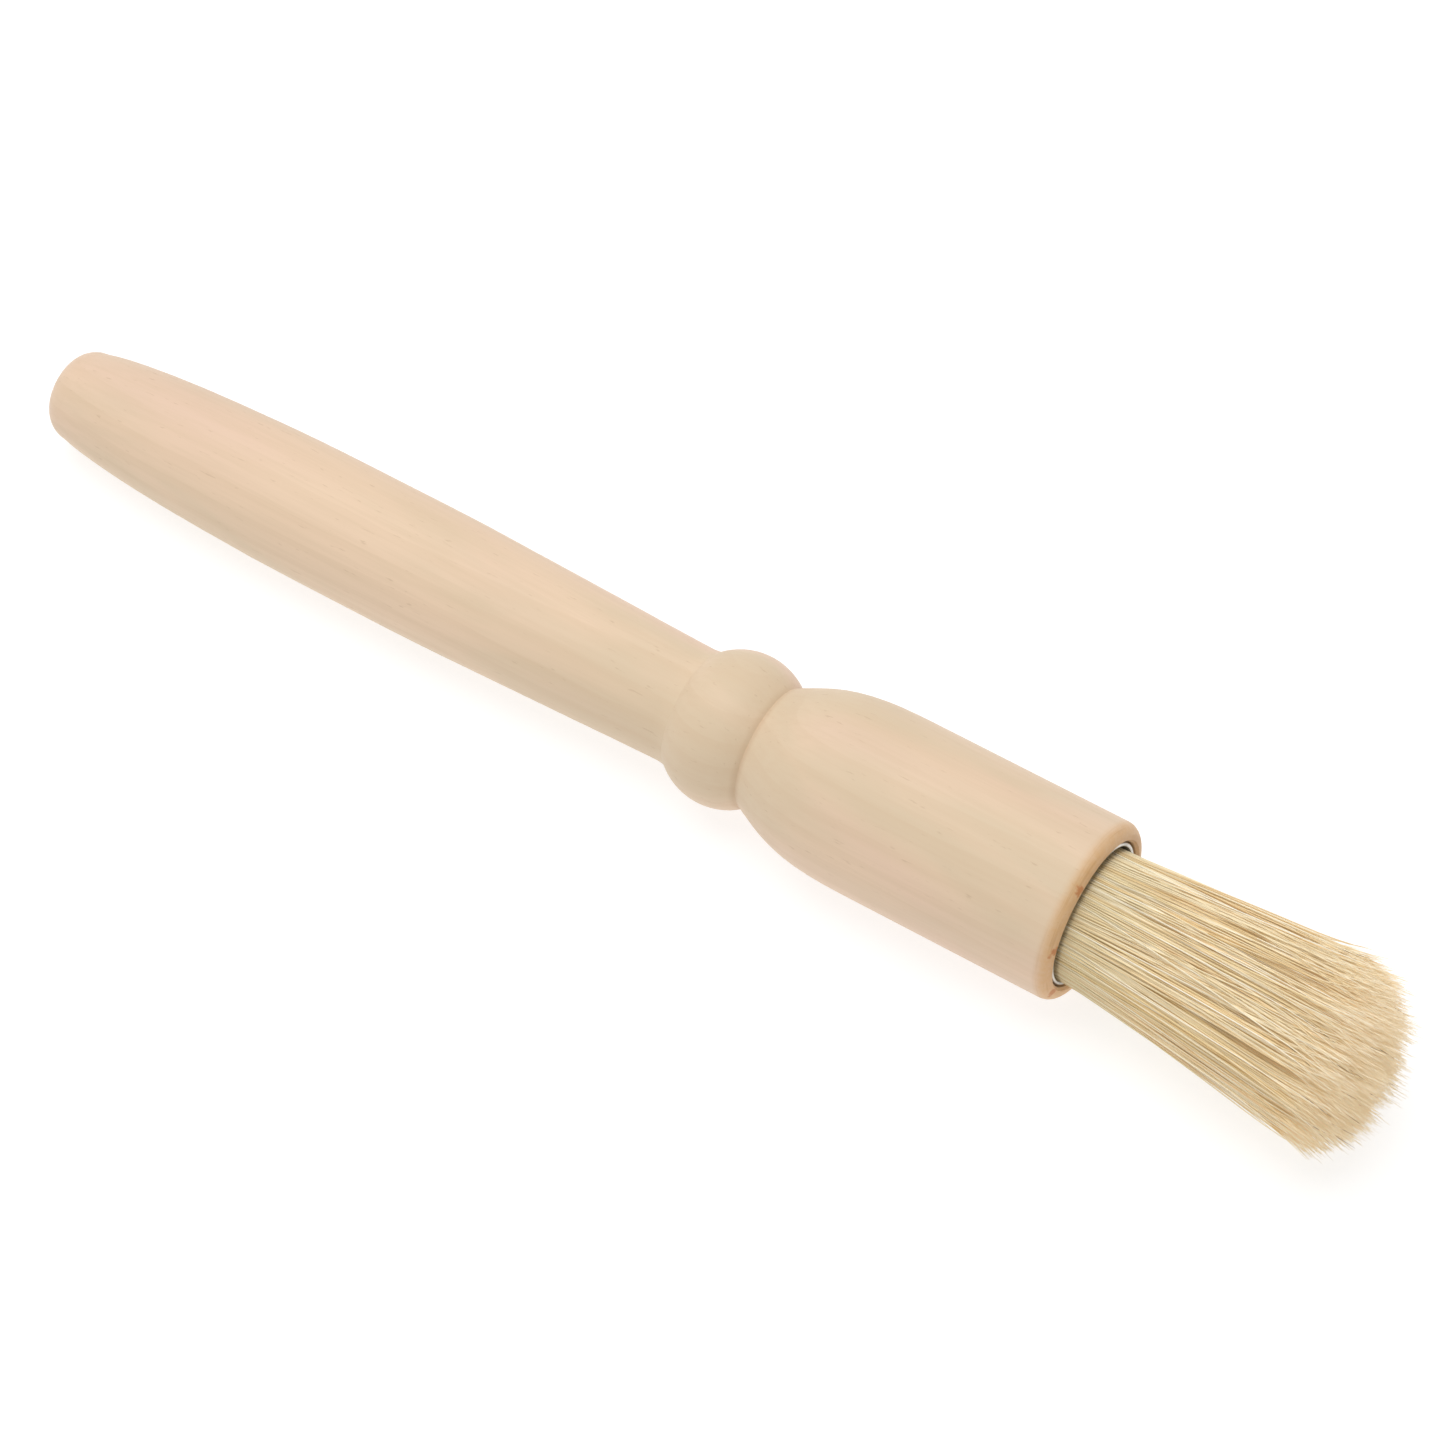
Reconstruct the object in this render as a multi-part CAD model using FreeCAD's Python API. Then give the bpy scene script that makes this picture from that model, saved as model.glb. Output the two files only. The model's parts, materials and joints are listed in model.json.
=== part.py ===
"""A round brush with a turned wooden handle and natural bristles, lying on a table.

The handle is one turned piece: a barrel-shaped grip, a bead, and a bell-shaped head whose end is
bored out. A thin steel ferrule holds the cemented roots of the bristles, and is glued into that
bore. The free bristles part into locks, which can bend as a bundle and splay.

Every piece is drawn about the brush's own axis, X, with the head's end face at x = 0, the
bristles towards +X and the butt towards -X. At the end all of them are tilted together, so that
the shoulder of the head and the belly of the grip both touch the table at z = 0.
Sizes are in millimetres.
"""

import FreeCAD, Part

import math
import os

Vector = FreeCAD.Vector

AXIS_START = Vector(0, 0, 0)
AXIS = Vector(1, 0, 0)

# Handle: stations along the axis, and the radius at each.
BUTT_X, BUTT_FLAT_R = -167.0, 3.4
BUTT_ROUND_X, BUTT_ROUND_R = -166.1, 5.35
BUTT_EDGE_X, BUTT_EDGE_R = -163.4, 6.65
GRIP_SWELL = [(-158.0, 7.6), (-149.0, 8.46), (-136.0, 9.1)]
BELLY_START_X, BELLY_END_X, BELLY_R = -121.0, -107.0, 9.36
GRIP_TAPER = [(-94.0, 9.12), (-80.0, 8.76)]
NECK_X, NECK_R = -64.0, 8.34
COVE_X, COVE_R = -62.1, 8.6
BEAD_X, BEAD_R = -56.1, 10.92
GROOVE_X, GROOVE_R = -50.3, 8.85
SHOULDER = [(-48.3, 9.82), (-45.8, 10.93), (-43.1, 11.8), (-40.0, 12.42), (-36.6, 12.74)]
HEAD_START_X, HEAD_R = -32.0, 12.85
MOUTH_ROUND = 1.8
BORE_R, BORE_DEPTH, BORE_LIP = 10.6, 22.5, 0.35
DRILL_POINT_DEPTH = 3.0

# Ferrule: a thin tube whose mouth stands a little inside the bore.
FERRULE_R, FERRULE_WALL = 10.35, 0.65
FERRULE_BACK_X, FERRULE_MOUTH_X = -22.0, -0.36

# What is set inside the ferrule, and the glue around it.
ROOTS_BACK_X, CEMENT_FRONT_X = -19.0, -10.0
ROOT_R, PACKED_R = 9.45, 9.67
GLUE_FRONT_X = -2.6

# Free bristles: the bundle widens in a cone from the mouth and ends in a low dome.
BUNDLE_MOUTH_R, BUNDLE_FLARE = 9.5, 0.105
TIP_EDGE_X = 36.4
TIP_DOME = [(39.6, 12.95), (41.6, 11.4), (43.4, 7.0), (44.2, 0.0)]
TIP_X = TIP_DOME[-1][0]

# The bundle bends at two ball-and-socket gaps, and its outer locks swing out behind a third.
BEND_GAP = 0.3
LIFT_X, LIFT_BALL_R = 6.0, 9.6
SWEEP_X, SWEEP_BALL_R = 16.0, 10.85
ROOT_TRIM_X, THROAT_FRONT_X = 0.3, 10.2
WAIST_FRONT_X, LOCK_BACK_X = 18.0, 18.3
CORE_SHARE, INNER_SHARE = 0.33, 0.64
INNER_LOCKS, OUTER_LOCKS = 6, 12
LOCK_GAP = 0.3

TILT_STEPS = 12
STATIONS_PER_EDGE = 60


def point(x, r):
    """The point of a half profile at station x and radius r."""
    return Vector(x, 0, r)


def bundle_radius(x):
    """Outer radius of the free bristles at station x."""
    return BUNDLE_MOUTH_R + BUNDLE_FLARE * x


def line(a, b):
    return Part.makeLine(point(*a), point(*b))


def arc(a, through, b):
    return Part.Arc(point(*a), point(*through), point(*b)).toShape()


def curve(stations, start_slope, end_slope):
    """A smooth edge through the stations, with the slopes given at its ends."""
    spline = Part.BSplineCurve()
    spline.interpolate(
        Points=[point(*s) for s in stations],
        InitialTangent=Vector(1, 0, start_slope),
        FinalTangent=Vector(1, 0, end_slope),
    )
    return spline.toShape()


def turned(edges):
    """The solid that a closed half profile sweeps round the brush's axis."""
    face = Part.Face(Part.Wire(edges))
    solid = face.revolve(AXIS_START, AXIS, 360)
    return solid if solid.Volume > 0 else solid.reversed()


def closed_profile(stations):
    """Straight edges from each station to the next, and back to the first."""
    return [line(a, b) for a, b in zip(stations, stations[1:] + stations[:1])]


def behind_ball(centre_x, radius, angle):
    """A station on a circle about (centre_x, 0), at an angle in degrees from -X towards the rim."""
    turn = math.radians(angle)
    return centre_x - radius * math.cos(turn), radius * math.sin(turn)


def handle_outline():
    """The handle's outer profile, from the middle of the butt to the lip of the bore."""
    butt_flat, butt_edge = (BUTT_X, BUTT_FLAT_R), (BUTT_EDGE_X, BUTT_EDGE_R)
    belly_start, belly_end = (BELLY_START_X, BELLY_R), (BELLY_END_X, BELLY_R)
    neck, cove, groove = (NECK_X, NECK_R), (COVE_X, COVE_R), (GROOVE_X, GROOVE_R)
    head_start = (HEAD_START_X, HEAD_R)
    flat_r = HEAD_R - MOUTH_ROUND
    half = MOUTH_ROUND * math.sqrt(0.5)
    return [
        line((BUTT_X, 0), butt_flat),
        arc(butt_flat, (BUTT_ROUND_X, BUTT_ROUND_R), butt_edge),
        curve([butt_edge, *GRIP_SWELL, belly_start], start_slope=0.26, end_slope=0),
        line(belly_start, belly_end),
        curve([belly_end, *GRIP_TAPER, neck], start_slope=0, end_slope=-0.02),
        arc(neck, ((NECK_X + COVE_X) / 2, NECK_R + 0.05), cove),
        arc(cove, (BEAD_X, BEAD_R), groove),
        curve([groove, *SHOULDER, head_start], start_slope=0.5, end_slope=0),
        line(head_start, (-MOUTH_ROUND, HEAD_R)),
        arc((-MOUTH_ROUND, HEAD_R), (half - MOUTH_ROUND, flat_r + half), (0, flat_r)),
        line((0, flat_r), (0, BORE_R + BORE_LIP)),
    ]


def handle():
    """The turned handle, bored for the ferrule, with the cone that the drill's point leaves."""
    bore_end_x = -BORE_DEPTH
    bore = [
        line((0, BORE_R + BORE_LIP), (-BORE_LIP, BORE_R)),
        line((-BORE_LIP, BORE_R), (bore_end_x, BORE_R)),
        line((bore_end_x, BORE_R), (bore_end_x - DRILL_POINT_DEPTH, 0)),
        line((bore_end_x - DRILL_POINT_DEPTH, 0), (BUTT_X, 0)),
    ]
    return turned(handle_outline() + bore)


def ferrule():
    """The steel tube, its mouth rounded over."""
    inner_r = FERRULE_R - FERRULE_WALL
    round_r = FERRULE_WALL / 2
    round_x = FERRULE_MOUTH_X - round_r
    edges = [
        line((FERRULE_BACK_X, inner_r), (FERRULE_BACK_X, FERRULE_R)),
        line((FERRULE_BACK_X, FERRULE_R), (round_x, FERRULE_R)),
        arc((round_x, FERRULE_R), (FERRULE_MOUTH_X, FERRULE_R - round_r), (round_x, inner_r)),
        line((round_x, inner_r), (FERRULE_BACK_X, inner_r)),
    ]
    return turned(edges)


def root_cement():
    """The resin that sets the roots: a floor, and a skin up the ferrule's wall."""
    inner_r = FERRULE_R - FERRULE_WALL
    stations = [
        (FERRULE_BACK_X, 0),
        (FERRULE_BACK_X, inner_r),
        (CEMENT_FRONT_X, inner_r),
        (CEMENT_FRONT_X, ROOT_R),
        (ROOTS_BACK_X, ROOT_R),
        (ROOTS_BACK_X, 0),
    ]
    return turned(closed_profile(stations))


def glue_sleeve():
    """The glue that bonds the ferrule into the bore: a thin cup behind and around it."""
    stations = [
        (-BORE_DEPTH, 0),
        (-BORE_DEPTH, BORE_R),
        (GLUE_FRONT_X, BORE_R),
        (GLUE_FRONT_X, FERRULE_R),
        (FERRULE_BACK_X, FERRULE_R),
        (FERRULE_BACK_X, 0),
    ]
    return turned(closed_profile(stations))


def bristle_roots():
    """The packed bristles inside the ferrule, hollowed in front to let the free ones bend."""
    hollow_r = LIFT_BALL_R + BEND_GAP
    trim_angle = math.degrees(math.acos((LIFT_X - ROOT_TRIM_X) / hollow_r))
    trim = behind_ball(LIFT_X, hollow_r, trim_angle)
    edges = [
        line((ROOTS_BACK_X, 0), (ROOTS_BACK_X, ROOT_R)),
        line((ROOTS_BACK_X, ROOT_R), (CEMENT_FRONT_X, ROOT_R)),
        line((CEMENT_FRONT_X, ROOT_R), (CEMENT_FRONT_X, PACKED_R)),
        line((CEMENT_FRONT_X, PACKED_R), (ROOT_TRIM_X, PACKED_R)),
        line((ROOT_TRIM_X, PACKED_R), trim),
        arc(trim, behind_ball(LIFT_X, hollow_r, trim_angle / 2), (LIFT_X - hollow_r, 0)),
        line((LIFT_X - hollow_r, 0), (ROOTS_BACK_X, 0)),
    ]
    return turned(edges)


def bristle_throat():
    """The first free stretch of the bundle: round behind, where it lifts, and hollow in front."""
    hollow_r = SWEEP_BALL_R + BEND_GAP
    front = (THROAT_FRONT_X, bundle_radius(THROAT_FRONT_X))
    trim_angle = math.degrees(math.acos((SWEEP_X - THROAT_FRONT_X) / hollow_r))
    trim = behind_ball(SWEEP_X, hollow_r, trim_angle)
    back, top = (LIFT_X - LIFT_BALL_R, 0), (LIFT_X, LIFT_BALL_R)
    edges = [
        arc(back, behind_ball(LIFT_X, LIFT_BALL_R, 45), top),
        line(top, front),
        line(front, trim),
        arc(trim, behind_ball(SWEEP_X, hollow_r, trim_angle / 2), (SWEEP_X - hollow_r, 0)),
        line((SWEEP_X - hollow_r, 0), back),
    ]
    return turned(edges)


def bristle_waist():
    """The next stretch of the bundle: round behind, where it sweeps, and flat in front."""
    back, top = (SWEEP_X - SWEEP_BALL_R, 0), (SWEEP_X, SWEEP_BALL_R)
    front = (WAIST_FRONT_X, bundle_radius(WAIST_FRONT_X))
    edges = [
        arc(back, behind_ball(SWEEP_X, SWEEP_BALL_R, 45), top),
        line(top, front),
        line(front, (WAIST_FRONT_X, 0)),
        line((WAIST_FRONT_X, 0), back),
    ]
    return turned(edges)


def brush_fan():
    """The outer shape of all the locks together: a cone with a low domed end."""
    back = (LOCK_BACK_X, bundle_radius(LOCK_BACK_X))
    tip_edge = (TIP_EDGE_X, bundle_radius(TIP_EDGE_X))
    dome = [tip_edge, *TIP_DOME]
    edges = [line((LOCK_BACK_X, 0), back), line(back, tip_edge)]
    edges += [line(a, b) for a, b in zip(dome, dome[1:])]
    edges.append(line((TIP_X, 0), (LOCK_BACK_X, 0)))
    return turned(edges)


def cone_of_share(share, extra=0.0):
    """A cone that holds the given share of the bundle's radius, plus an extra radius."""
    back_x, front_x = LOCK_BACK_X - 1, TIP_X + 1
    back_r = share * bundle_radius(back_x) + extra
    front_r = share * bundle_radius(front_x) + extra
    return Part.makeCone(back_r, front_r, front_x - back_x, Vector(back_x, 0, 0), AXIS)


def lock_directions(count):
    """For each lock of a ring, the way out from the axis through its middle."""
    angles = [math.radians((k + 0.5) * 360 / count) for k in range(count)]
    return [Vector(0, math.cos(a), math.sin(a)) for a in angles]


def sector(middle, width, gap):
    """A long wedge about the axis whose two sides stand half the gap inside its full width."""
    half, reach = math.radians(width / 2), 2 * HEAD_R
    across = AXIS.cross(middle)
    apex = middle * (gap / 2 / math.sin(half)) + Vector(LOCK_BACK_X - 1, 0, 0)
    sides = [middle * math.cos(half) + across * (s * math.sin(half)) for s in (-1, 1)]
    corners = [apex, apex + sides[0] * reach, apex + middle * reach, apex + sides[1] * reach, apex]
    return Part.Face(Part.makePolygon(corners)).extrude(AXIS * (TIP_X - LOCK_BACK_X + 2))


def bristle_locks():
    """The locks by name: one in the core, a ring of inner locks and a ring of outer ones."""
    fan = brush_fan()
    core, inner = cone_of_share(CORE_SHARE), cone_of_share(INNER_SHARE)
    inner_ring = fan.common(inner).cut(core)
    outer_ring = fan.cut(cone_of_share(INNER_SHARE, LOCK_GAP))
    rings = (
        ("inner_lock", inner_ring, INNER_LOCKS, 0.0),
        ("outer_lock", outer_ring, OUTER_LOCKS, LOCK_GAP),
    )
    locks = {"core_lock": fan.common(core)}
    for name, ring, count, gap in rings:
        for k, middle in enumerate(lock_directions(count), start=1):
            locks[f"{name}_{k:02d}"] = ring.common(sector(middle, 360 / count, gap))
    return locks


def all_pieces():
    """Every piece of the brush by name, about the brush's own axis."""
    pieces = {
        "handle": handle(),
        "ferrule": ferrule(),
        "root_cement": root_cement(),
        "glue_sleeve": glue_sleeve(),
        "bristle_roots": bristle_roots(),
        "bristle_throat": bristle_throat(),
        "bristle_waist": bristle_waist(),
    }
    pieces.update(bristle_locks())
    return pieces


def resting_slope():
    """The slope of the straight line that touches both the grip and the head from outside."""
    outline = [p for edge in handle_outline() for p in edge.discretize(STATIONS_PER_EDGE)]
    grip = [p for p in outline if p.x < GROOVE_X]
    head = [p for p in outline if p.x >= GROOVE_X]
    slope = 0.0
    for _ in range(TILT_STEPS):
        low_grip, low_head = (max(side, key=lambda p: p.z - slope * p.x) for side in (grip, head))
        slope = (low_head.z - low_grip.z) / (low_head.x - low_grip.x)
    return slope


def resting_place(pieces):
    """Where the brush lies: tilted on to its head and grip, over the middle of its own box."""
    lean = FreeCAD.Rotation(Vector(0, 1, 0), -math.degrees(math.atan(resting_slope())))
    turn = FreeCAD.Placement(Vector(0, 0, 0), lean).toMatrix()
    boxes = [p.transformed(turn).optimalBoundingBox(True, False) for p in pieces.values()]
    middle_x = (min(b.XMin for b in boxes) + max(b.XMax for b in boxes)) / 2
    lowest_z = min(b.ZMin for b in boxes)
    return FreeCAD.Placement(Vector(-middle_x, 0, -lowest_z), lean)


def main():
    os.makedirs("parts", exist_ok=True)
    pieces = all_pieces()
    place = resting_place(pieces)
    for name, shape in pieces.items():
        laid = shape.copy()
        laid.Placement = place.multiply(laid.Placement)
        laid.exportStep(f"parts/{name}.step")


if __name__ == "__main__":
    main()
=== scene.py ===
"""A round hand brush: a turned wooden handle, a steel ferrule in its bored head, and a bundle of
pale natural bristles. The file follows the brush as it is put together."""

import json
import math

import bmesh
import bpy
import numpy as np
from mathutils import Matrix, Vector


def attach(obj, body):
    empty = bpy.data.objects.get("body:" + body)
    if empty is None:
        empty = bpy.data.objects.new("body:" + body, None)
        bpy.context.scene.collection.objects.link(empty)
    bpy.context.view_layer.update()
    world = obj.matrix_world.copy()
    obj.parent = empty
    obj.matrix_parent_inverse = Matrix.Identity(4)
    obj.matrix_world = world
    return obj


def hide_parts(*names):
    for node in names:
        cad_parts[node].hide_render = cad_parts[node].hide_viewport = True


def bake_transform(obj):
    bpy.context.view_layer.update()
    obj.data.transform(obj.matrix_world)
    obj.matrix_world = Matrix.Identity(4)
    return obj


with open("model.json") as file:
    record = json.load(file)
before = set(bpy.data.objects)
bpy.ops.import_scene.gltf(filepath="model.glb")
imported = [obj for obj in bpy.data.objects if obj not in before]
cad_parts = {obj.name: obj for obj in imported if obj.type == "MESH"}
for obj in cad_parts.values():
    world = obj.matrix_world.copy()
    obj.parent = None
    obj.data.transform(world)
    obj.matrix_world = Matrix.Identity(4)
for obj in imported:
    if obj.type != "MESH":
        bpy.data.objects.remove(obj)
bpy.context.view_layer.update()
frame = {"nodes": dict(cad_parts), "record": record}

MM = 0.001

# ---------------------------------------------------------------- handle
# One piece of pale, close-grained wood, turned between centres: a barrel grip, a bead, a groove
# and a bell-shaped head. It is sanded and left bare, and its end is bored out for the ferrule.

# The straight part of the head is a mount, which ends where the rounding of the mouth starts. The
# brush's own frame has its origin at the middle of the mouth, X towards the tips and Y level.
MOUTH_ROUND = 1.8 * MM
head = next(m for m in frame["record"]["mounts"] if m["name"] == "head")
along = -Vector(head["axis"]).normalized()
sideways = Vector((0, 1, 0))
head_half = head["dims"]["length_mm"] / 2 * MM
mouth = Vector(head["pos_m"]) + along * (head_half + MOUTH_ROUND)
own_axes = Matrix((along, sideways, along.cross(sideways))).transposed().to_4x4()
own_frame = Matrix.Translation(mouth) @ own_axes
tilt = -math.asin(along.z)


class Wire:
    """A socket that gives a value in a material. Arithmetic on it adds Math nodes."""

    def __init__(self, tree, socket=None):
        self.tree = tree
        self.socket = socket

    def node(self, kind, inputs=None, out=0, **settings):
        """The output of a new node: its settings are made first, and then its sockets."""
        made = self.tree.nodes.new(kind)
        for name, value in settings.items():
            setattr(made, name, value)
        for name, value in (inputs or {}).items():
            self.give(made.inputs[name], value)
        return Wire(self.tree, made.outputs[out])

    def give(self, socket, value):
        if isinstance(value, Wire):
            self.tree.links.new(value.socket, socket)
        else:
            socket.default_value = value

    def math(self, operation, *values):
        return self.node("ShaderNodeMath", dict(enumerate(values)), operation=operation)

    def __add__(self, other):
        return self.math("ADD", self, other)

    __radd__ = __add__

    def __sub__(self, other):
        return self.math("SUBTRACT", self, other)

    def __rsub__(self, other):
        return self.math("SUBTRACT", other, self)

    def __mul__(self, other):
        return self.math("MULTIPLY", self, other)

    __rmul__ = __mul__

    def __truediv__(self, other):
        return self.math("DIVIDE", self, other)

    def __pow__(self, other):
        return self.math("POWER", self, other)

    def outputs(self, *names):
        """The named outputs of the node that gives this value."""
        return [Wire(self.tree, self.socket.node.outputs[name]) for name in names]

    def ramp(self, low, high):
        """0 where the value is low, 1 where it is high, and a smooth step between them."""
        return self.node("ShaderNodeMapRange", {"Value": self, "From Min": low, "From Max": high},
                         interpolation_type="SMOOTHSTEP")

    def noise(self, place, scale, detail=2.0, rough=0.5, distort=0.0, stretch=(1, 1, 1)):
        """Noise at that scale, finer along the axes that stretch makes larger."""
        moved = self.node("ShaderNodeMapping", {"Vector": place, "Scale": stretch})
        return self.node(
            "ShaderNodeTexNoise",
            {"Vector": moved, "Scale": scale, "Detail": detail, "Roughness": rough,
             "Distortion": distort},
        )

    def blend(self, first, second):
        """Colour first where this value is 0, and second where it is 1."""
        return self.node(
            "ShaderNodeMix", {0: self, 6: first, 7: second}, out=2, data_type="RGBA"
        )


def rgb(red, green, blue):
    """A colour as it is seen, in 0 to 255, as the linear colour that a socket takes."""
    seen = [c / 255 for c in (red, green, blue)]
    return tuple(c / 12.92 if c <= 0.04045 else ((c + 0.055) / 1.055) ** 2.4 for c in seen) + (1,)


def new_material(name, paint, **constants):
    """A material: paint gives the sockets that vary over the surface, and the rest are constants."""
    material = bpy.data.materials.new(name)
    material.use_nodes = True
    tree = material.node_tree
    shader = tree.nodes["Principled BSDF"]
    for socket, value in constants.items():
        shader.inputs[socket.replace("_", " ")].default_value = value
    for socket, wire in paint(Wire(tree)).items():
        tree.links.new(wire.socket, shader.inputs[socket])
    return material


def brush_place(wire):
    """The place on the surface, in the brush's own frame."""
    in_object = wire.node("ShaderNodeTexCoord", out=3)
    return wire.node(
        "ShaderNodeMapping",
        {"Vector": in_object, "Location": mouth, "Rotation": (0, tilt, 0)},
        vector_type="TEXTURE",
    )


def dress(node, material):
    """Gives a CAD node its material."""
    for material_slot in frame["nodes"][node].material_slots:
        material_slot.material = material


PITH_Y, PITH_Z = -21 * MM, -34 * MM
RING_WIDTH, RING_WANDER = 3.1 * MM, 6 * MM
GROOVE_X, GROOVE_WIDTH = -50.3 * MM, 0.9 * MM
END_GRAIN_FROM, END_GRAIN_FULL = -2.3 * MM, -0.4 * MM
STAIN_X, STAIN_R = -0.15 * MM, 11.6 * MM
STAINS = ((111.0, 0.8 * MM), (155.0, 1.0 * MM), (203.0, 0.9 * MM))


def wood_paint(w):
    place = brush_place(w)
    x, y, z = w.node("ShaderNodeSeparateXYZ", {"Vector": place}).outputs("X", "Y", "Z")
    # Growth rings about a pith that lies outside the piece, so they run along it as faint bands.
    wander = w.noise(place, 55, 3, 0.5, 0.2, (0.22, 1, 1))
    from_pith = ((y - PITH_Y) ** 2 + (z - PITH_Z) ** 2) ** 0.5
    rings = w.math("FRACT", (from_pith + wander * RING_WANDER) / RING_WIDTH)
    late = rings.ramp(0.35, 0.95) * rings.ramp(1.0, 0.95)
    patches = w.noise(place, 70, 3, 0.55, 0.4, (0.3, 1, 1)).ramp(0.36, 0.64)
    blush = w.noise(place, 38, 2, 0.5, 0.3, (0.35, 1, 1.3)).ramp(0.42, 0.66)
    fibres = w.noise(place, 1500, 3, 0.6, 0, (0.03, 1, 1))
    flecks = w.noise(place, 2600, 2, 0.5, 0, (0.16, 1, 1)).ramp(0.66, 0.76)
    base = patches.blend(rgb(223, 201, 171), rgb(236, 208, 179))
    base = (blush * 0.75).blend(base, rgb(233, 201, 178))
    base = (late * 0.16).blend(base, rgb(214, 184, 150))
    base = (fibres.ramp(0.35, 0.75) * 0.3).blend(base, rgb(219, 192, 160))
    base = (flecks * 0.3).blend(base, rgb(186, 152, 116))
    # End grain drinks in more of the hand's oil and of the light, so the mouth is browner, and the
    # last cuts of the lathe are darker rings on it.
    end = x.ramp(END_GRAIN_FROM, END_GRAIN_FULL)
    pores = w.noise(place, 1300, 3, 0.6)
    base = (end * (0.4 + 0.6 * pores)).blend(base, rgb(220, 172, 114))
    cuts = w.noise(place, 2600, 2, 0.5, 0, (1, 0.04, 0.04)).ramp(0.5, 0.66)
    base = (end * cuts * 0.3).blend(base, rgb(184, 134, 78))
    # A darker line along the groove: painted shade in the recess, with some dirt.
    groove = w.math("ABSOLUTE", x - GROOVE_X).ramp(GROOVE_WIDTH, 0.1 * MM)
    base = (groove * 0.25).blend(base, rgb(188, 152, 116))
    # Small ragged resin stains beside the bore.
    edge = w.noise(place, 900, 3, 0.6)
    for angle, size in STAINS:
        turn = math.radians(angle)
        centre = (STAIN_X, STAIN_R * math.cos(turn), STAIN_R * math.sin(turn))
        gap = w.node("ShaderNodeVectorMath", {0: place, 1: centre}, out=1, operation="DISTANCE")
        stain = (gap + (edge - 0.5) * size * 3).ramp(size, size * 0.3)
        base = (stain * 0.75).blend(base, rgb(196, 116, 54))
    rough = 0.52 + 0.16 * fibres + 0.1 * flecks
    turning = w.noise(place, 900, 2, 0.5, 0, (1, 0.02, 0.02))
    height = fibres * 0.5 + turning * 0.35 - flecks * 0.8
    bump = w.node("ShaderNodeBump", {"Strength": 0.25, "Distance": 0.02 * MM, "Height": height})
    return {"Base Color": base, "Roughness": rough, "Normal": bump}


dress("handle", new_material("bare_turned_wood", wood_paint, Specular_IOR_Level=0.35,
                             Sheen_Weight=0.15))

# ---------------------------------------------------------------- glue sleeve
# A thin cup of wood glue, spread in the bore before the ferrule is pushed home. It sets behind
# and around the ferrule, and bonds it to the wood.


def glue_paint(w):
    place = brush_place(w)
    cloud = w.noise(place, 500, 3)
    tone = cloud.ramp(0.3, 0.7).blend(rgb(176, 130, 72), rgb(206, 164, 102))
    bump = w.node("ShaderNodeBump", {"Strength": 0.4, "Distance": 0.05 * MM, "Height": cloud})
    return {"Base Color": tone, "Roughness": 0.35 + 0.2 * cloud, "Normal": bump}


dress("glue_sleeve", new_material("set_wood_glue", glue_paint))

# ---------------------------------------------------------------- ferrule
# A short tube of thin steel, drawn and cut, its mouth rounded over. It stands a little inside the
# bore, with its bright edge and a crescent of its inner wall to be seen.


def steel_paint(w):
    place = brush_place(w)
    drawn = w.noise(place, 1800, 3, 0.6, 0, (1, 0.08, 0.08))
    smear = w.noise(place, 260, 3, 0.5, 0.5)
    tone = smear.ramp(0.35, 0.7).blend(rgb(216, 213, 206), rgb(184, 181, 174))
    rough = 0.26 + 0.14 * drawn + 0.1 * smear
    bump = w.node("ShaderNodeBump", {"Strength": 0.2, "Distance": 0.01 * MM, "Height": drawn})
    return {"Base Color": tone, "Roughness": rough, "Normal": bump}


dress("ferrule", new_material("drawn_steel", steel_paint, Metallic=1.0))

# ---------------------------------------------------------------- root cement
# A plug of amber resin, poured into the back of the ferrule, where it sets hard about the
# bristles' roots.


def cement_paint(w):
    place = brush_place(w)
    cloud = w.noise(place, 380, 4, 0.55, 0.6)
    tone = cloud.ramp(0.3, 0.7).blend(rgb(122, 82, 40), rgb(170, 122, 66))
    bump = w.node("ShaderNodeBump", {"Strength": 0.3, "Distance": 0.05 * MM, "Height": cloud})
    return {"Base Color": tone, "Roughness": 0.25 + 0.2 * cloud, "Normal": bump}


dress("root_cement", new_material("amber_resin", cement_paint, Coat_Weight=0.3))

# ---------------------------------------------------------------- bristles
# Some thousands of pale hog bristles, about 0.19 mm thick, which narrow to soft tips. Packed
# tight and set in resin in the ferrule, they flare in front of it and gather into small locks,
# trimmed to a low, ragged dome. Throat, waist, middle and locks are stretches of the same hairs.

HAIRS, CLUMPS, TUFTS, OUTER_LOCKS = 7200, 700, 80, 12
ROOT_X, THROAT_END_X, WAIST_END_X = -9 * MM, 10.2 * MM, 18.3 * MM
PACKED_R, MOUTH_R, FLARE = 9.5 * MM, 9.4 * MM, 0.087
LENGTH, DOME = 43.6 * MM, 5.0 * MM
HAIR_R, HAIR_TAPER, TIP_WIDTH = 0.096 * MM, 11 * MM, 0.22
HAIR_SIDES = 4
SHORTEST = 0.3 * MM

# The bundle sags a little to one side, and the side away from that is shorter and sparser.
SAG = np.array((-0.87, -0.5))
MOUTH_LEAN, TIP_LEAN = 0.2 * MM, 1.5 * MM
SHORT_SIDE = 2.6 * MM
BROKEN_SHARE, BROKEN_HIGH_SHARE, BROKEN_BY = 0.16, 0.45, 6 * MM
CLUMP_UNEVEN, HAIR_UNEVEN = 0.7 * MM, 0.8 * MM

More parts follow.
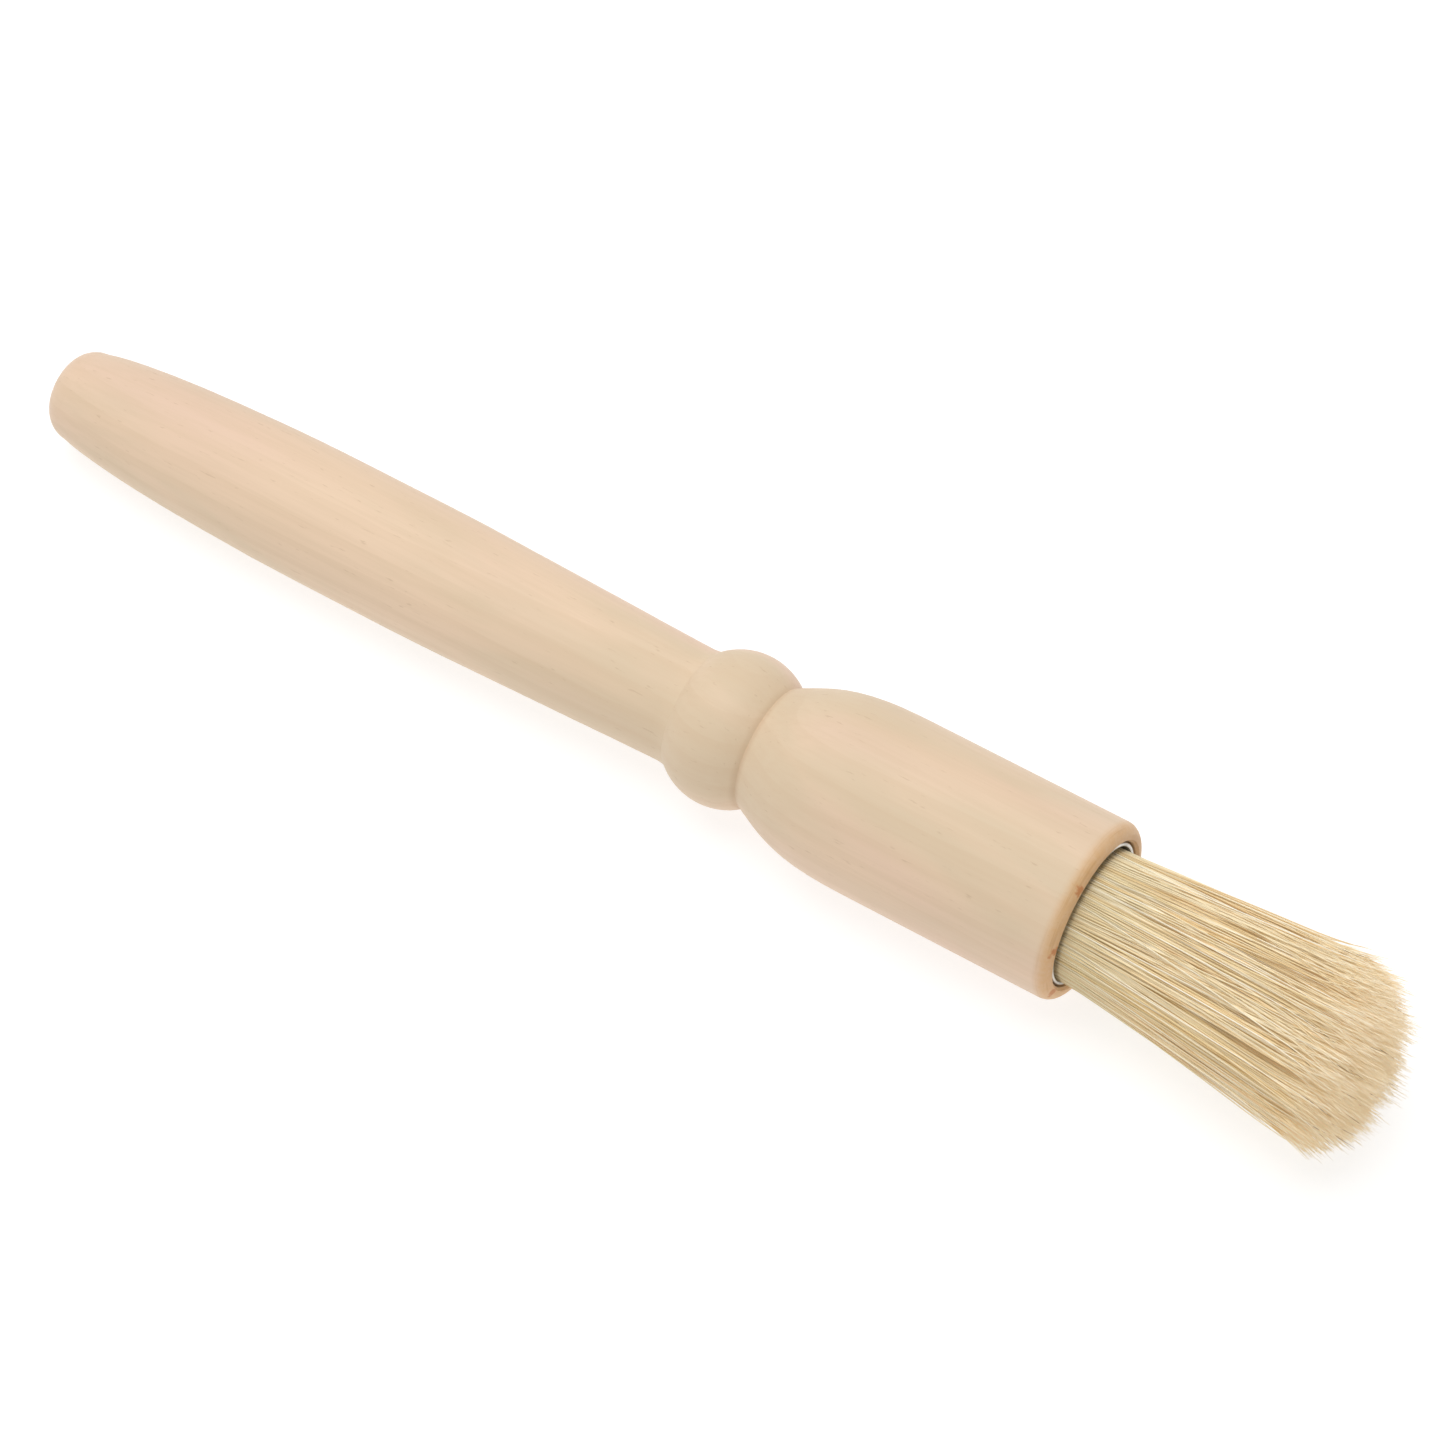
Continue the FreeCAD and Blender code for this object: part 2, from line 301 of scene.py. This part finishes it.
# How hairs part from a perfect bundle towards their tips. Drifts, flick and bow are shares of the
# bundle's radius, swings are in radians about its axis, and a pull of 1 would bring a clump's
# hairs together.
CLUMP_DRIFT, TUFT_DRIFT, HAIR_DRIFT = 0.02, 0.026, 0.026
STRAY_SHARE, STRAY_TIMES = 0.15, 2.6
CLUMP_SWING, TUFT_SWING, HAIR_SWING = 0.08, 0.11, 0.09
CLUMP_PULL, HAIR_PULL = 0.32, 0.06
TIP_FLICK, FLICK_LENGTH, HAIR_BOW = 0.04, 9 * MM, 0.012

# Hairs beyond SHELL, a share of the radius, show along their whole length, so they get more
# points. Hairs within INNER_SHARE of it are the bundle's middle.
SHELL, INNER_SHARE = 0.88, 0.64
OCHRE_CLUMPS, OCHRE_BELOW = 0.06, 0.12

chance = np.random.default_rng(20)


def on_disc(count):
    """Points spread evenly over a disc of radius 1: a sunflower's spiral, a little shaken."""
    k = np.arange(count) + 0.5
    radius = np.sqrt(k / count)
    turn = k * math.pi * (3 - math.sqrt(5))
    spots = np.stack((radius * np.cos(turn), radius * np.sin(turn)), axis=1)
    return spots + chance.normal(0, 0.35 / math.sqrt(count), spots.shape)


def nearest(points, centres):
    """For each point, the number of the centre that is nearest to it."""
    gaps = ((points[:, None, :] - centres[None, :, :]) ** 2).sum(axis=2)
    return gaps.argmin(axis=1)


spots = on_disc(HAIRS)
spots /= np.maximum(1, np.linalg.norm(spots, axis=1, keepdims=True))
clump_centres, tuft_centres = on_disc(CLUMPS), on_disc(TUFTS)
clump_of, tuft_of = nearest(spots, clump_centres), nearest(spots, tuft_centres)
clump_drift = chance.normal(0, CLUMP_DRIFT, (CLUMPS, 2))
tuft_drift = chance.normal(0, TUFT_DRIFT, (TUFTS, 2))
hair_drift = chance.normal(0, HAIR_DRIFT, (HAIRS, 2))
hair_drift[chance.random(HAIRS) < STRAY_SHARE] *= STRAY_TIMES
swing = chance.normal(0, CLUMP_SWING, CLUMPS)[clump_of]
swing += chance.normal(0, TUFT_SWING, TUFTS)[tuft_of]
swing += chance.normal(0, HAIR_SWING, HAIRS)
flick = chance.normal(0, TIP_FLICK, (HAIRS, 2))
bow = chance.normal(0, HAIR_BOW, (HAIRS, 2))
pull = CLUMP_PULL * chance.random(CLUMPS)[clump_of] ** 1.6
pull += HAIR_PULL * chance.random(HAIRS)
from_axis = np.linalg.norm(spots, axis=1)
tip_x = LENGTH - DOME * from_axis**3.2
tip_x += CLUMP_UNEVEN * chance.normal(0, 1, CLUMPS)[clump_of]
tip_x += HAIR_UNEVEN * chance.normal(0, 1, HAIRS)
high = np.clip(-(spots @ SAG), 0, 1) ** 2
tip_x -= SHORT_SIDE * high * (0.4 + 1.2 * chance.random(HAIRS))
broken = chance.random(HAIRS) < BROKEN_SHARE + BROKEN_HIGH_SHARE * high
tip_x -= BROKEN_BY * broken * chance.random(HAIRS)
thick = HAIR_R * (0.78 + 0.44 * chance.random(HAIRS))


def hair_point(k, x):
    """The Y and Z of hairs k at stations x, in the brush's own frame. Both are arrays."""
    t = np.clip(x / LENGTH, 0, None)
    gather = pull[k] * np.clip(t, 0, 1) ** 0.9
    spot = spots[k] * (1 - gather)[..., None] + clump_centres[clump_of[k]] * gather[..., None]
    spot = spot + (clump_drift[clump_of[k]] + tuft_drift[tuft_of[k]]) * (t**1.3)[..., None]
    spot = spot + hair_drift[k] * (t**1.6)[..., None]
    spot = spot + bow[k] * np.sin(math.pi * np.clip(t, 0, 1))[..., None]
    near_tip = np.clip(1 - (tip_x[k] - x) / FLICK_LENGTH, 0, 1)
    spot = spot + flick[k] * (near_tip**2)[..., None]
    cosine, sine = np.cos(swing[k] * t), np.sin(swing[k] * t)
    spot = np.stack((spot[..., 0] * cosine - spot[..., 1] * sine,
                     spot[..., 0] * sine + spot[..., 1] * cosine), axis=-1)
    reach = np.where(x < 0, PACKED_R + (MOUTH_R - PACKED_R) * (x - ROOT_X) / -ROOT_X,
                     MOUTH_R + FLARE * x)
    lean = MOUTH_LEAN * np.clip(1 - x / ROOT_X, 0, 1) + TIP_LEAN * t**1.5
    return spot * reach[..., None] + SAG * lean[..., None]


def hair_width(k, x):
    """The hair's radius at station x: it narrows over its last stretch to a fine tip."""
    left = np.clip((tip_x[k] - x) / HAIR_TAPER, 0, 1)
    return thick[k] * (TIP_WIDTH + (1 - TIP_WIDTH) * left**0.6)


# Each hair's tone: how pale it is, most so on the bundle's outside and on its short side, and a
# number from 0 to 1 that picks out odd hairs. The short side lies uppermost, and its extra
# paleness is painted light.
pale = 0.65 * chance.random(HAIRS) + 0.35 * chance.random(CLUMPS)[clump_of]
pale *= np.clip((from_axis - 0.6) / 0.35, 0, 1) * 0.6 + 0.4
# Paler still on the upper, short side: painted light where the light falls on the bundle's top.
pale += 0.4 * high * (1 - pale)
odd = chance.random(HAIRS)
odd[chance.random(CLUMPS)[clump_of] < OCHRE_CLUMPS] = OCHRE_BELOW
tone = np.stack((pale, odd), axis=1)


def hairs_between(name, chosen, start_x, end_x, steps_for, ease=1.0):
    """One mesh of the chosen hairs from start_x to end_x, or to each hair's tip. Where ease is
    less than 1, their points stand closer together towards the end. The mesh has an attribute,
    hair, of the share of LENGTH and the two numbers of the hair's tone."""
    line = bpy.data.curves.new(name, "CURVE")
    line.dimensions = "3D"
    line.bevel_depth = 1.0
    line.bevel_resolution = 0
    marks = []
    for k in chosen:
        last = tip_x[k] if end_x is None else min(end_x, tip_x[k])
        if last - start_x < SHORTEST:
            continue
        steps = steps_for(k)
        xs = start_x + (last - start_x) * np.linspace(0, 1, steps + 1) ** ease
        ks = np.full(steps + 1, k)
        across = hair_point(ks, xs)
        spline = line.splines.new("POLY")
        spline.points.add(steps)
        places = np.column_stack((xs, across, np.ones(steps + 1)))
        spline.points.foreach_set("co", places.ravel())
        spline.points.foreach_set("radius", hair_width(ks, xs))
        marks.append(np.column_stack((xs / LENGTH, tone[ks])).repeat(HAIR_SIDES, axis=0))
    shown = bpy.data.objects.new(name, line)
    bpy.context.scene.collection.objects.link(shown)
    mesh = bpy.data.meshes.new_from_object(shown)
    bpy.data.objects.remove(shown)
    bpy.data.curves.remove(line)
    mesh.name = name
    mark = mesh.attributes.new("hair", "FLOAT_VECTOR", "POINT")
    mark.data.foreach_set("vector", np.concatenate(marks).astype(np.float32).ravel())
    # The cut ends are closed with flat caps, and their rims are sharp, so that the sides shade
    # straight through to the next stretch.
    closed = bmesh.new()
    closed.from_mesh(mesh)
    sides = len(closed.faces)
    rims = [e for e in closed.edges if e.is_boundary]
    for rim in rims:
        rim.smooth = False
    bmesh.ops.holes_fill(closed, edges=rims, sides=HAIR_SIDES)
    bmesh.ops.recalc_face_normals(closed, faces=closed.faces)
    closed.to_mesh(mesh)
    closed.free()
    mesh.transform(own_frame)
    smooth = np.ones(len(mesh.polygons), bool)
    smooth[sides:] = False
    mesh.polygons.foreach_set("use_smooth", smooth)
    piece = bpy.data.objects.new(name, mesh)
    bpy.context.scene.collection.objects.link(piece)
    mesh.materials.append(hog_bristle)
    return piece


def bristle_paint(w):
    mark = w.node("ShaderNodeAttribute", out=1, attribute_name="hair")
    length, pale, odd = w.node("ShaderNodeSeparateXYZ", {"Vector": mark}).outputs("X", "Y", "Z")
    # pale holds each hair's own tone and also the painted light on the bundle's upper side.
    base = pale.blend(rgb(236, 210, 152), rgb(250, 240, 216))
    base = (odd.ramp(0.8, 0.9) * 0.6).blend(base, rgb(255, 250, 238))
    ochre = odd.ramp(2 * OCHRE_BELOW, OCHRE_BELOW)
    base = (ochre * 0.5).blend(base, rgb(222, 178, 106))
    # Duller and greyer towards the ferrule: painted shade, where the ferrule shades the roots. Paler
    # at the worn tips. A very few hairs have dark ends.
    base = (length.ramp(0.35, -0.05) * 0.35).blend(base, rgb(206, 200, 162))
    base = (length.ramp(0.78, 1.0) * 0.6).blend(base, rgb(252, 242, 222))
    dark = odd.ramp(0.008, 0.006) * length.ramp(0.4, 0.55)
    base = (dark * 0.85).blend(base, rgb(92, 76, 60))
    # Painted shade, with some dust, inside the mouth: the hairs there are browner and darker, and
    # their painted glow is cut down.
    mouth_dust_and_shade = length.ramp(0.009, -0.006)
    base = (mouth_dust_and_shade * 0.4).blend(base, rgb(140, 112, 62))
    # A faint painted glow stands in for light that passes from hair to hair, so the gaps between
    # them go golden instead of black. The glow is brighter towards the tips.
    painted_glow = pale.blend(rgb(200, 176, 132), rgb(216, 204, 174))
    painted_glow = length.ramp(0.55, 1.0).blend(painted_glow, rgb(255, 238, 206))
    painted_glow = dark.blend(painted_glow, rgb(60, 50, 40))
    painted_glow = mouth_dust_and_shade.blend(painted_glow, rgb(50, 42, 26))
    return {"Base Color": base, "Roughness": 0.42 + 0.16 * pale, "Emission Color": painted_glow}


# Emission_Strength sets how strong the hairs' painted glow is.
hog_bristle = new_material("hog_bristle", bristle_paint, Specular_IOR_Level=0.4,
                           Emission_Strength=0.115)

every_hair = np.arange(HAIRS)
in_shell = from_axis > SHELL


def station(x):
    """The point on the brush's axis at station x."""
    return own_frame @ Vector((x, 0, 0))


throat = hairs_between("throat_bristles", every_hair, ROOT_X, THROAT_END_X,
                       lambda k: 4 if in_shell[k] else 2, ease=0.7)
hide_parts("bristle_roots", "bristle_throat")
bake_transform(throat)

waist = hairs_between("waist_bristles", every_hair, THROAT_END_X, WAIST_END_X,
                      lambda k: 4 if in_shell[k] else 1)
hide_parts("bristle_waist")
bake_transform(waist)

at_waist = hair_point(every_hair, np.full(HAIRS, WAIST_END_X))
bearing = np.degrees(np.arctan2(at_waist[:, 1], at_waist[:, 0])) % 360
lock_of = (bearing // (360 / OUTER_LOCKS)).astype(int)
waist_r = MOUTH_R + FLARE * WAIST_END_X
outside = np.linalg.norm(at_waist, axis=1) > INNER_SHARE * waist_r

middle = hairs_between("middle_bristles", every_hair[~outside], WAIST_END_X, None, lambda k: 4)
inner_nodes = [n for n in frame["nodes"] if n.startswith("inner_lock")]
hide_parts("core_lock", *inner_nodes)
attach(middle, "waist")

for lock in range(OUTER_LOCKS):
    name = f"outer_lock_{lock + 1:02d}"
    own_hairs = every_hair[outside & (lock_of == lock)]
    piece = hairs_between(f"outer_bristles_{lock + 1:02d}", own_hairs, WAIST_END_X, None,
                          lambda k: 7)
    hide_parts(name)
    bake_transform(piece)

# ---------------------------------------------------------------- table, light and camera
# The brush lies on a plain pale table, under a big soft light and in a bright white room. The
# table glows a little, so that the shadow on it is faint.

TABLE_HALF = 3.0
TABLE_GLOW, ROOM_GLOW = 0.72, 0.455
SOFT_BOX_SIZE, SOFT_BOX_WATTS = 1.6, 18.2

table_mesh = bpy.data.meshes.new("table")
top = bmesh.new()
bmesh.ops.create_grid(top, x_segments=1, y_segments=1, size=TABLE_HALF)
top.to_mesh(table_mesh)
top.free()
table = bpy.data.objects.new("table", table_mesh)
bpy.context.scene.collection.objects.link(table)


def table_paint(w):
    place = w.node("ShaderNodeTexCoord", out=3)
    tone = w.noise(place, 3, 2).blend(rgb(168, 168, 168), rgb(171, 171, 171))
    return {"Base Color": tone}


table_mesh.materials.append(
    new_material("pale_table", table_paint, Roughness=0.9, Specular_IOR_Level=0.1,
                 Emission_Color=(1, 1, 1, 1), Emission_Strength=TABLE_GLOW)
)

world = bpy.data.worlds.new("room")
world.use_nodes = True
backdrop = world.node_tree.nodes["Background"]
backdrop.inputs["Color"].default_value = (1, 1, 1, 1)
backdrop.inputs["Strength"].default_value = ROOM_GLOW
bpy.context.scene.world = world

soft = bpy.data.lights.new("soft_box", "AREA")
soft.shape = "DISK"
soft.size = SOFT_BOX_SIZE
soft.energy = SOFT_BOX_WATTS
soft_box = bpy.data.objects.new("soft_box", soft)
soft_place = Vector((-0.3, 0.08, 1.55))
soft_turn = soft_place.to_track_quat("Z", "Y").to_matrix().to_4x4()
soft_box.matrix_world = Matrix.Translation(soft_place) @ soft_turn
bpy.context.scene.collection.objects.link(soft_box)

# A long lens looks down on the brush from near the head's side. The aim is a point on the axis,
# and then a little to its left and above it, as the camera sees them.
AZIMUTH, ELEVATION = math.radians(33.1), math.radians(55.7)
DISTANCE = 795.2 * MM
AIM_X, AIM_LEFT, AIM_ABOVE = -46.7 * MM, 9.4364 * MM, 4.9965 * MM
SENSOR_MM, FOCAL_LENGTH_MM = 36.0, 149.481
level, rise = math.cos(ELEVATION), math.sin(ELEVATION)
toward = Vector((math.sin(AZIMUTH) * level, -math.cos(AZIMUTH) * level, rise))
right = Vector((math.cos(AZIMUTH), math.sin(AZIMUTH), 0))
above = toward.cross(right)
lens = bpy.data.cameras.new("camera")
lens.sensor_width = SENSOR_MM
lens.lens = FOCAL_LENGTH_MM
lens.clip_start = 0.01
camera = bpy.data.objects.new("camera", lens)
aim = station(AIM_X) - right * AIM_LEFT + above * AIM_ABOVE
facing = Matrix((right, above, toward)).transposed().to_4x4()
camera.matrix_world = Matrix.Translation(aim + toward * DISTANCE) @ facing
bpy.context.scene.collection.objects.link(camera)
bpy.context.scene.camera = camera
bpy.context.scene.view_settings.view_transform = "Standard"
